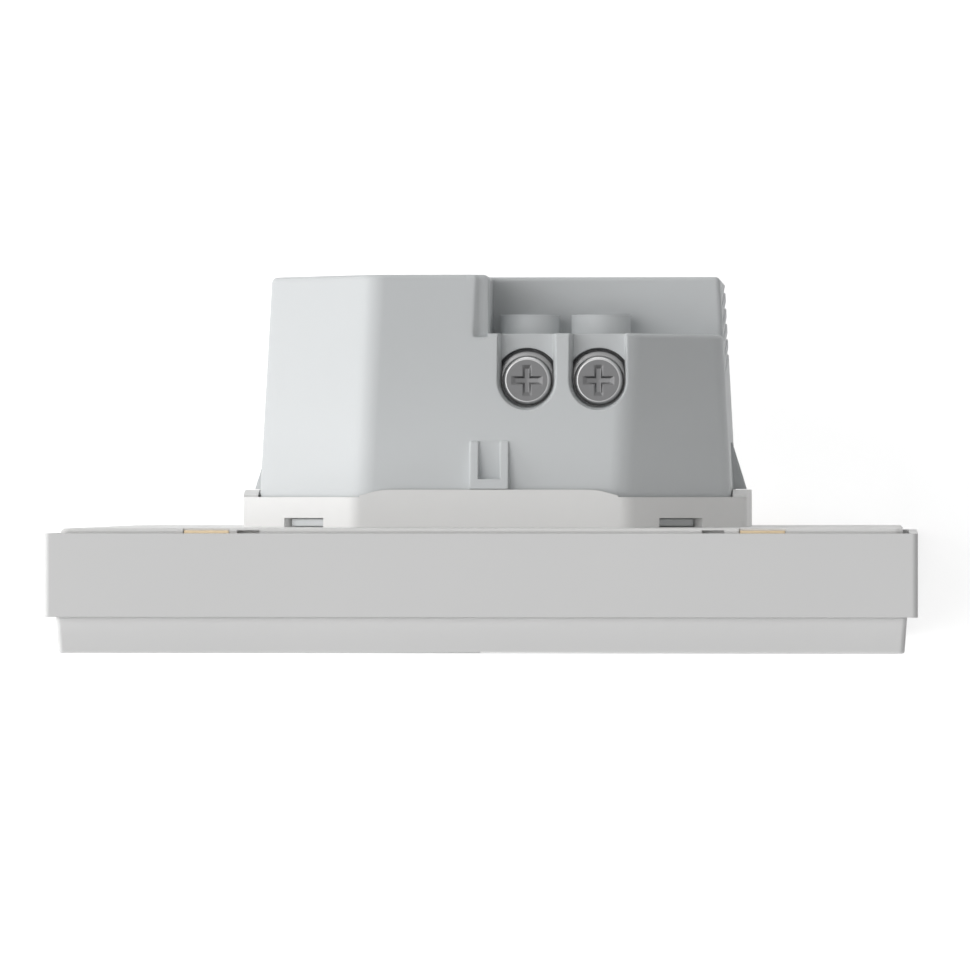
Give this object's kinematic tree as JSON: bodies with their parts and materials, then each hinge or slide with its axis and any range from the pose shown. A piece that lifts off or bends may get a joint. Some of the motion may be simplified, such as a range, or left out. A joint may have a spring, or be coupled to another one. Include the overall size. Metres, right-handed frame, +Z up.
{
  "type": "smart light switch",
  "caption": "Square flush-mounted smart light switch: broad rocker key in a thin frame, eight-sided rear housing with screw terminals.",
  "frame": {"origin": "middle of the wall plane, halfway between the two fixing holes", "axes": "+X to the right seen from the front, +Z up the wall, +Y into the wall; the key faces -Y"},
  "size_m": [0.086, 0.0378, 0.086],
  "materials": {
    "white_plastic": "satin",
    "base_plastic": "satin",
    "housing_plastic": "fine grain",
    "clear_plastic": "clear",
    "spacer_plastic": "satin",
    "screw_steel": "zinc plated",
    "terminal_steel": "nickel plated",
    "block_steel": "dark plated",
    "terminal_brass": "plain",
    "spring_brass": "plain",
    "shield_tin": "tinned",
    "board_green": "solder mask",
    "board_blue": "solder mask",
    "component_black": "moulded",
    "stem_plastic": "moulded",
    "led_white": "lens",
    "relay_blue": "moulded",
    "winding_amber": "taped",
    "capacitor_yellow": "moulded",
    "varistor_blue": "dipped",
    "fuse_grey": "coated"
  },
  "bodies": {
    "base": {"bezel_frame": "white_plastic", "bezel_springs": "spring_brass", "mounting_base": "base_plastic", "front_cover": "base_plastic", "cover_screws": "screw_steel", "rear_housing": "housing_plastic", "control_board": "board_green", "status_led": "led_white", "radio_module": "board_blue", "radio_shield": "shield_tin", "tact_switch": "component_black", "board_header": "component_black", "board_spacers": "spacer_plastic", "board_screws": "screw_steel", "power_board": "board_green", "relay": "relay_blue", "transformer": "winding_amber", "bulk_capacitor": "component_black", "filter_capacitor": "capacitor_yellow", "varistor": "varistor_blue", "fuse_resistor": "fuse_grey", "bridge_rectifier": "component_black", "terminal_block_line": "block_steel", "terminal_block_load": "block_steel"},
    "key": {"rocker_key": "white_plastic", "light_pipe": "clear_plastic"},
    "plunger": {"key_plunger": "base_plastic", "tact_stem": "stem_plastic"},
    "line_clamp": {"clamp_saddle_line": "terminal_brass"},
    "line_screw": {"terminal_screw_line": "terminal_steel"},
    "load_clamp": {"clamp_saddle_load": "terminal_brass"},
    "load_screw": {"terminal_screw_load": "terminal_steel"}
  },
  "joints": [
    {"name": "key_press", "type": "hinge", "parent": "base", "child": "key", "pos_m": [0, -0.0085, 0.037], "axis": [1, 0, 0], "range_deg": [0, 0.56], "stiffness_Nm_per_rad": 5, "springref_deg": -0.57},
    {"name": "plunger_press", "type": "slide", "parent": "base", "child": "plunger", "axis": [0, 1, 0], "range_m": [0, 0.0005]},
    {"name": "line_clamp_feed", "type": "slide", "parent": "base", "child": "line_clamp", "axis": [0, 0, -1], "range_m": [0, 0.0015]},
    {"name": "line_screw_turn", "type": "hinge", "parent": "line_clamp", "child": "line_screw", "pos_m": [0.0037, 0.01483, 0.02], "axis": [0, 0, -1], "range_deg": [0, 900]},
    {"name": "load_clamp_feed", "type": "slide", "parent": "base", "child": "load_clamp", "axis": [0, 0, -1], "range_m": [0, 0.0015]},
    {"name": "load_screw_turn", "type": "hinge", "parent": "load_clamp", "child": "load_screw", "pos_m": [0.01092, 0.01483, 0.02], "axis": [0, 0, -1], "range_deg": [0, 900]}
  ],
  "couplings": [
    {"joint": "plunger_press", "follows": "key_press", "m_per_rad": 0.051},
    {"joint": "line_screw_turn", "follows": "line_clamp_feed", "rad_per_m": 10472},
    {"joint": "load_screw_turn", "follows": "load_clamp_feed", "rad_per_m": 10472}
  ]
}
